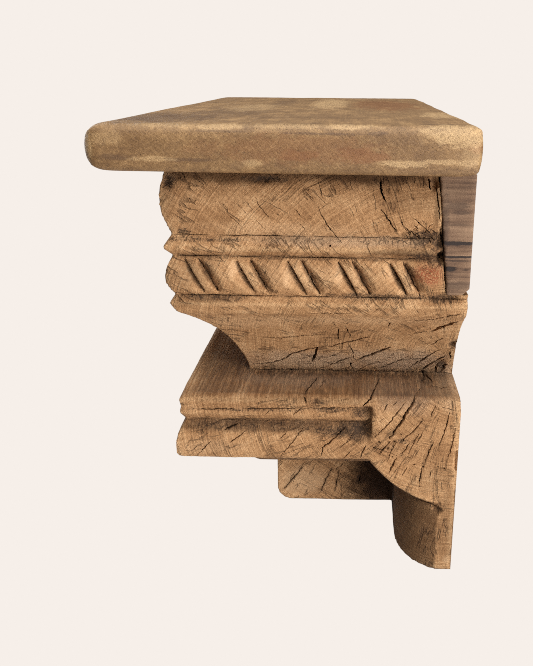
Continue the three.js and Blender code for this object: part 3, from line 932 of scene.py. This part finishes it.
class Shading:
    """Builds one material's nodes with short calls."""

    def __init__(self, name):
        self.material = bpy.data.materials.new(name)
        self.material.use_nodes = True
        self.nodes = self.material.node_tree.nodes
        self.links = self.material.node_tree.links
        self.nodes.clear()

    def feed(self, socket, value):
        if isinstance(value, bpy.types.NodeSocket):
            self.links.new(value, socket)
        else:
            socket.default_value = value

    def node(self, kind, sockets, **settings):
        """A node with its settings; sockets gives a value or a link for each input by name or number."""
        made = self.nodes.new(kind)
        for name, value in settings.items():
            setattr(made, name, value)
        for name, value in sockets.items():
            self.feed(made.inputs[name], value)
        return made

    def maths(self, operation, first, second=0.0, third=0.0):
        sockets = {0: first, 1: second, 2: third}
        return self.node("ShaderNodeMath", sockets, operation=operation).outputs[0]

    def add(self, first, second):
        return self.maths("ADD", first, second)

    def times(self, first, second):
        return self.maths("MULTIPLY", first, second)

    def vector(self, operation, first, second):
        sockets = {0: first, 1: second}
        return self.node("ShaderNodeVectorMath", sockets, operation=operation).outputs[0]

    def stretched(self, place, size):
        """The place counted in steps of that size, in millimetres, along each axis."""
        return self.vector("DIVIDE", place, tuple(size))

    def noise(self, place, size, detail=2.0, roughness=0.5):
        """0 to 1, with bumps about size across."""
        sockets = {"Vector": self.stretched(place, size), "Scale": 1.0, "Detail": detail, "Roughness": roughness}
        return self.node("ShaderNodeTexNoise", sockets).outputs["Fac"]

    def step(self, value, low, high, start=0.0, end=1.0):
        """start below low, end above high and a smooth step between them."""
        sockets = {"Value": value, "From Min": low, "From Max": high, "To Min": start, "To Max": end}
        return self.node("ShaderNodeMapRange", sockets, interpolation_type="SMOOTHSTEP").outputs[0]

    def mix(self, share, first, second):
        made = self.node("ShaderNodeMix", {0: share, 6: first, 7: second}, data_type="RGBA")
        return made.outputs[2]

    def ramp(self, value, stops):
        """A colour along a row of (position, colour) stops."""
        made = self.node("ShaderNodeValToRGB", {"Fac": value})
        elements = made.color_ramp.elements
        while len(elements) < len(stops):
            elements.new(0.5)
        for element, (position, colour) in zip(elements, stops):
            element.position = position
            element.color = colour
        return made.outputs["Color"]

    def stored(self, name):
        return self.node("ShaderNodeAttribute", {}, attribute_name=name).outputs["Fac"]

    def millimetres(self):
        place = self.node("ShaderNodeTexCoord", {}).outputs["Object"]
        return self.node("ShaderNodeVectorMath", {0: place, "Scale": 1000.0}, operation="SCALE").outputs[0]

    def turned(self, place, degrees):
        """The place turned about X."""
        sockets = {"Vector": place, "Angle": math.radians(degrees)}
        return self.node("ShaderNodeVectorRotate", sockets, rotation_type="X_AXIS").outputs[0]

    def spot_marks(self, place, tree, spots, uneven):
        """How strongly the spots mark the place, as stains and, for some spots, painted light; uneven, from -0.5 to
        0.5, breaks their outlines.
        """
        total = 0.0
        for picture_place, size, strength in spots:
            centre = seen_on(tree, picture_place)[0] * 1000
            away = self.stretched(self.vector("SUBTRACT", place, tuple(centre)), size)
            distance = self.node("ShaderNodeVectorMath", {0: away}, operation="LENGTH").outputs["Value"]
            mark = self.step(self.add(distance, uneven), 1.15, 0.55, 0.0, strength)
            total = self.maths("MAXIMUM", total, mark)
        return total

    def finish(self, colour, roughness, height, depth, specular=0.3):
        bump = self.node("ShaderNodeBump", {"Height": height, "Distance": depth, "Strength": 1.0})
        sockets = {
            "Base Color": colour,
            "Roughness": roughness,
            "Specular IOR Level": specular,
            "Normal": bump.outputs[0],
        }
        surface = self.node("ShaderNodeBsdfPrincipled", sockets)
        output = self.node("ShaderNodeOutputMaterial", {})
        self.links.new(surface.outputs[0], output.inputs[0])
        return self.material


def round_heart(shading, place, heart, wander=9.0):
    """The place as distance from the heart, way round it and X, in millimetres; the rings wander."""
    wobble = shading.node("ShaderNodeTexNoise", {"Vector": shading.stretched(place, (90, 40, 40)), "Scale": 1.0})
    centred = shading.vector("SUBTRACT", wobble.outputs["Color"], (0.5, 0.5, 0.5))
    moved = shading.node("ShaderNodeVectorMath", {0: centred, "Scale": wander}, operation="SCALE").outputs[0]
    from_heart = shading.vector("SUBTRACT", shading.vector("ADD", place, moved), tuple(heart))
    parts = shading.node("ShaderNodeSeparateXYZ", {0: from_heart}).outputs
    squares = shading.add(shading.times(parts[1], parts[1]), shading.times(parts[2], parts[2]))
    distance = shading.maths("SQRT", squares)
    around = shading.times(shading.maths("ARCTAN2", parts[2], parts[1]), 100.0)
    return shading.node("ShaderNodeCombineXYZ", {0: distance, 1: around, 2: parts[0]}).outputs[0]


def capital_material(tree):
    heart = np.array(heart_place(tree)) * 1000
    shading = Shading("old_checked_timber")
    place = shading.millimetres()
    rounds = round_heart(shading, place, heart)
    rings = shading.noise(rounds, (1.3, 90, 400), 3.0, 0.6)
    rays = shading.noise(rounds, (18, 1.3, 120), 3.0, 0.6)
    pores = shading.noise(place, (24, 0.7, 0.7), 2.0, 0.7)
    streaks = shading.noise(place, (90, 2.4, 2.4), 3.0, 0.6)
    clouds = shading.noise(place, (60, 24, 24), 3.0, 0.55)
    along_grain = shading.stored("along_grain")
    streak_strength = shading.add(0.3, along_grain)
    value = shading.times(shading.add(rings, -0.5), 0.8)
    value = shading.add(value, shading.times(shading.add(rays, -0.5), 0.5))
    value = shading.add(value, shading.times(shading.add(pores, -0.5), 0.4))
    value = shading.add(value, shading.times(shading.add(streaks, -0.5), streak_strength))
    value = shading.add(value, shading.times(shading.add(clouds, -0.5), 0.8))
    fine = shading.noise(place, (9, 1.6, 1.6), 4.0, 0.75)
    value = shading.add(value, shading.times(shading.add(fine, -0.5), 0.5))
    value = shading.add(value, 0.5)
    stops = [
        (0.0, linear(92, 62, 40)),
        (0.35, linear(144, 105, 70)),
        (0.6, linear(170, 129, 90)),
        (1.0, linear(206, 168, 126)),
    ]
    colour = shading.ramp(value, stops)
    hollow = shading.stored("hollow")
    deep = shading.stored("deep")
    fissures = shading.noise(rounds, (24, 3.4, 260), 3.0, 0.5)
    fissures = shading.maths("ABSOLUTE", shading.add(fissures, -0.5))
    fissure_places = shading.noise(rounds, (20, 9, 300), 2.0, 0.5)
    checks = shading.times(shading.step(fissures, 0.035, 0.01), shading.step(fissure_places, 0.5, 0.6))
    ring_lines = shading.noise(rounds, (3.0, 40, 260), 3.0, 0.5)
    ring_lines = shading.maths("ABSOLUTE", shading.add(ring_lines, -0.5))
    ring_places = shading.noise(rounds, (12, 24, 300), 2.0, 0.5)
    ring_marks = shading.times(shading.step(ring_lines, 0.03, 0.005), shading.step(ring_places, 0.54, 0.64))
    checks = shading.maths("MAXIMUM", checks, shading.times(ring_marks, 0.7))
    checks = shading.times(checks, shading.maths("SUBTRACT", 1.0, along_grain))
    # Painted shade in creases and hollows, where more of the space round a point is solid, with some grime
    grime_and_crease_shade = shading.add(shading.step(hollow, 0.55, 0.70), shading.times(shading.step(deep, 0.56, 0.78), 0.5))
    grime_and_crease_shade = shading.times(grime_and_crease_shade, shading.step(fine, 0.30, 0.62))
    crackle = shading.node(
        "ShaderNodeTexVoronoi",
        {"Vector": shading.stretched(rounds, (4.5, 3.0, 60)), "Scale": 1.0},
        feature="DISTANCE_TO_EDGE",
    ).outputs["Distance"]
    specks = shading.noise(place, (8, 1.3, 1.1), 4.0, 0.7)
    # soot: black patina specks, and painted shade in creases, under the board and on the gouges' shaded flanks
    soot_and_painted_shade = shading.stored("soot_and_painted_shade")
    chance = shading.add(soot_and_painted_shade, shading.times(shading.add(specks, -0.5), 3.4))
    chance = shading.add(chance, shading.step(crackle, 0.14, 0.0, 0.0, 0.5))
    blackened = shading.times(shading.step(chance, 0.5, 1.4), shading.step(soot_and_painted_shade, 0.02, 0.3))
    rubbed = shading.times(shading.step(hollow, 0.47, 0.36), shading.step(fine, 0.35, 0.6))
    colour = shading.mix(shading.times(along_grain, 0.25), colour, linear(112, 80, 52))
    weather = shading.times(shading.stored("weather"), shading.step(fine, 0.25, 0.65, 0.3, 0.8))
    colour = shading.mix(weather, colour, linear(134, 114, 98))
    colour = shading.mix(shading.times(rubbed, 0.35), colour, linear(210, 172, 128))
    # pale: paler wood, and painted light on lit flanks and faces
    pale = shading.times(shading.stored("pale"), shading.step(fine, 0.3, 0.6, 0.3, 1.0))
    colour = shading.mix(shading.times(pale, 0.75), colour, linear(208, 170, 130))
    # Painted shade in dark brown: the brown patches and the pendant's curved sides; a few of the patches are brown
    # stain
    brown_stain_and_painted_shade = shading.maths("MAXIMUM", shading.stored("brown_stain_and_painted_shade"), shading.times(shading.stored("pendant_side_shade"), 0.85))
    colour = shading.mix(shading.times(brown_stain_and_painted_shade, 0.75), colour, linear(54, 33, 16))
    colour = shading.mix(shading.times(grime_and_crease_shade, 0.6), colour, linear(64, 46, 34))
    colour = shading.mix(shading.times(soot_and_painted_shade, 0.35), colour, linear(86, 68, 54))
    paint = shading.times(shading.stored("paint"), shading.step(specks, 0.38, 0.56))
    colour = shading.mix(shading.times(paint, 0.9), colour, linear(134, 70, 45))
    colour = shading.mix(shading.times(blackened, 0.8), colour, linear(48, 37, 30))
    colour = shading.mix(shading.times(checks, 0.47), colour, linear(60, 40, 27))
    height = shading.add(shading.times(pores, 0.5), shading.times(rays, 0.5))
    height = shading.add(height, shading.times(rings, 0.6))
    height = shading.add(height, shading.times(fine, 0.35))
    height = shading.add(height, shading.times(checks, -0.8))
    height = shading.add(height, shading.times(blackened, -0.3))
    return shading.finish(colour, 0.82, height, 1.0 * MM, 0.12)


def board_material(tree):
    shading = Shading("worn_shelf_timber")
    place = shading.millimetres()
    upward = shading.stored("upward")
    pores = shading.noise(place, (28, 0.8, 0.8), 3.0, 0.75)
    specks = shading.noise(place, (6, 1.4, 1.0), 3.0, 0.7)
    streaks = shading.noise(place, (160, 6.0, 3.0), 3.0, 0.6)
    clouds = shading.noise(place, (36, 34, 16), 3.0, 0.55)
    strokes = shading.noise(shading.turned(place, 38), (30, 5, 1.1), 3.0, 0.7)
    crossing = shading.noise(shading.turned(place, -33), (30, 4, 1.2), 3.0, 0.7)
    bands = shading.noise(place, (18, 14, 60), 4.0, 0.65)
    value = 0.5
    for texture, weight in ((pores, 0.4), (streaks, 0.3), (clouds, 0.5), (strokes, 0.45), (crossing, 0.45)):
        value = shading.add(value, shading.times(shading.add(texture, -0.5), weight))
    contrast = shading.times(upward, 1.05)
    value = shading.add(value, shading.times(shading.add(bands, -0.5), contrast))
    stops = [
        (0.15, linear(78, 52, 30)),
        (0.5, linear(121, 90, 56)),
        (0.85, linear(168, 132, 88)),
    ]
    colour = shading.ramp(value, stops)
    uneven = shading.add(shading.times(shading.noise(place, (16, 9, 4), 5.0, 0.75), 2.4), -1.2)
    reddish = shading.spot_marks(place, tree, BOARD_STAINS_AND_PAINTED_LIGHT["reddish"], uneven)
    dark = shading.spot_marks(place, tree, BOARD_STAINS_AND_PAINTED_LIGHT["dark"], uneven)
    # The pale spots are paler worn wood, and painted light on the board's rounded left edge
    pale = shading.spot_marks(place, tree, BOARD_STAINS_AND_PAINTED_LIGHT["pale"], uneven)
    worn = shading.step(pores, 0.35, 0.6, 0.3, 1.0)
    colour = shading.mix(shading.times(upward, 0.25), colour, linear(176, 142, 102))
    colour = shading.mix(shading.times(reddish, 0.55), colour, linear(120, 73, 40))
    colour = shading.mix(shading.times(dark, 0.55), colour, linear(74, 52, 38))
    colour = shading.mix(shading.times(shading.times(pale, worn), 0.65), colour, linear(200, 166, 120))
    rubbed = shading.times(shading.step(shading.stored("hollow"), 0.46, 0.3), worn)
    colour = shading.mix(shading.times(rubbed, 0.3), colour, linear(190, 158, 118))
    dots = shading.step(specks, 0.37, 0.30)
    colour = shading.mix(shading.times(dots, 0.4), colour, linear(66, 44, 28))
    height = shading.add(shading.times(pores, 0.5), shading.times(strokes, 0.5))
    height = shading.add(height, shading.times(crossing, 0.5))
    height = shading.add(height, shading.times(dots, -0.4))
    return shading.finish(colour, 0.6, height, 0.5 * MM, 0.4)


def batten_material(tree):
    shading = Shading("planed_batten_timber")
    place = shading.millimetres()
    pores = shading.noise(place, (28, 0.9, 0.7), 3.0, 0.7)
    layers = shading.noise(place, (300, 60, 2.6), 3.0, 0.6)
    clouds = shading.noise(place, (110, 30, 18), 2.0, 0.5)
    value = shading.add(shading.times(pores, 0.3), shading.times(layers, 0.5))
    value = shading.add(value, shading.times(clouds, 0.4))
    stops = [
        (0.42, linear(66, 46, 35)),
        (0.58, linear(108, 82, 62)),
        (0.74, linear(136, 108, 84)),
    ]
    colour = shading.ramp(value, stops)
    uneven = shading.add(shading.times(shading.noise(place, (30, 6, 2), 4.0, 0.7), 1.6), -0.8)
    dark = shading.spot_marks(place, tree, BATTEN_STAINS, uneven)
    colour = shading.mix(shading.times(dark, 0.85), colour, linear(44, 33, 28))
    height = shading.add(shading.times(pores, 0.4), shading.times(layers, 0.6))
    height = shading.add(height, shading.times(dark, -0.4))
    return shading.finish(colour, 0.75, height, 0.3 * MM)


# Stage and light

WORLD_LIGHT = 0.06


def pale_or(tree, pale_kind, other_kind, other_colour, other_strength, output_kind):
    """Shows the plain pale colour to the camera, and gives the other shader to the light."""
    nodes = tree.nodes
    links = tree.links
    nodes.clear()
    pale = nodes.new(pale_kind)
    pale.inputs["Color"].default_value = linear(*PALE)
    other = nodes.new(other_kind)
    other.inputs["Color"].default_value = other_colour
    if other_strength is not None:
        other.inputs["Strength"].default_value = other_strength
    path = nodes.new("ShaderNodeLightPath")
    mix = nodes.new("ShaderNodeMixShader")
    output = nodes.new(output_kind)
    links.new(path.outputs["Is Camera Ray"], mix.inputs[0])
    links.new(other.outputs[0], mix.inputs[1])
    links.new(pale.outputs[0], mix.inputs[2])
    links.new(mix.outputs[0], output.inputs[0])


def make_stage():
    """A plain pale floor, well below the shelf as below one on a wall."""
    half = 30
    drop = -1.3
    corners = [(-half, -half, drop), (half, -half, drop), (half, half, drop), (-half, half, drop)]
    mesh = bpy.data.meshes.new("floor")
    mesh.from_pydata(corners, [], [(0, 1, 2, 3)])
    floor = bpy.data.objects.new("floor", mesh)
    bpy.context.scene.collection.objects.link(floor)
    material = bpy.data.materials.new("floor")
    material.use_nodes = True
    floor_colour = linear(*PALE)
    pale_or(
        material.node_tree,
        "ShaderNodeEmission",
        "ShaderNodeBsdfDiffuse",
        floor_colour,
        None,
        "ShaderNodeOutputMaterial",
    )
    mesh.materials.append(material)


def make_world():
    world = bpy.data.worlds.new("world")
    bpy.context.scene.world = world
    world.use_nodes = True
    pale_or(
        world.node_tree,
        "ShaderNodeBackground",
        "ShaderNodeBackground",
        (1.0, 0.98, 0.95, 1.0),
        WORLD_LIGHT,
        "ShaderNodeOutputWorld",
    )


def make_lamp(name, place, power, size):
    data = bpy.data.lights.new(name, "AREA")
    data.energy = power
    data.size = size
    lamp = bpy.data.objects.new(name, data)
    aim = Vector((0.1, -0.1, -0.1))
    lamp.location = place
    lamp.rotation_euler = (aim - Vector(place)).to_track_quat("-Z", "Y").to_euler()
    bpy.context.scene.collection.objects.link(lamp)


def make_lights():
    make_lamp("key", (1.35, 1.05, 0.2), 17, 0.6)
    make_lamp("low", (1.35, 0.9, -0.55), 19, 0.9)
    make_lamp("high", (1.2, 0.2, 1.4), 27, 1.0)
    make_lamp("top", (0.0, -0.1, 1.7), 20, 1.2)
    make_lamp("front", (-1.1, -1.6, 0.3), 22, 1.4)


def main():
    make_camera()
    make_world()
    make_stage()
    make_lights()
    scene = bpy.context.scene
    scene.view_settings.view_transform = "Standard"
    scene.cycles.use_denoising = False
    scene.cycles.filter_width = 1.0
    make_capital()
    make_board()
    make_batten()


main()
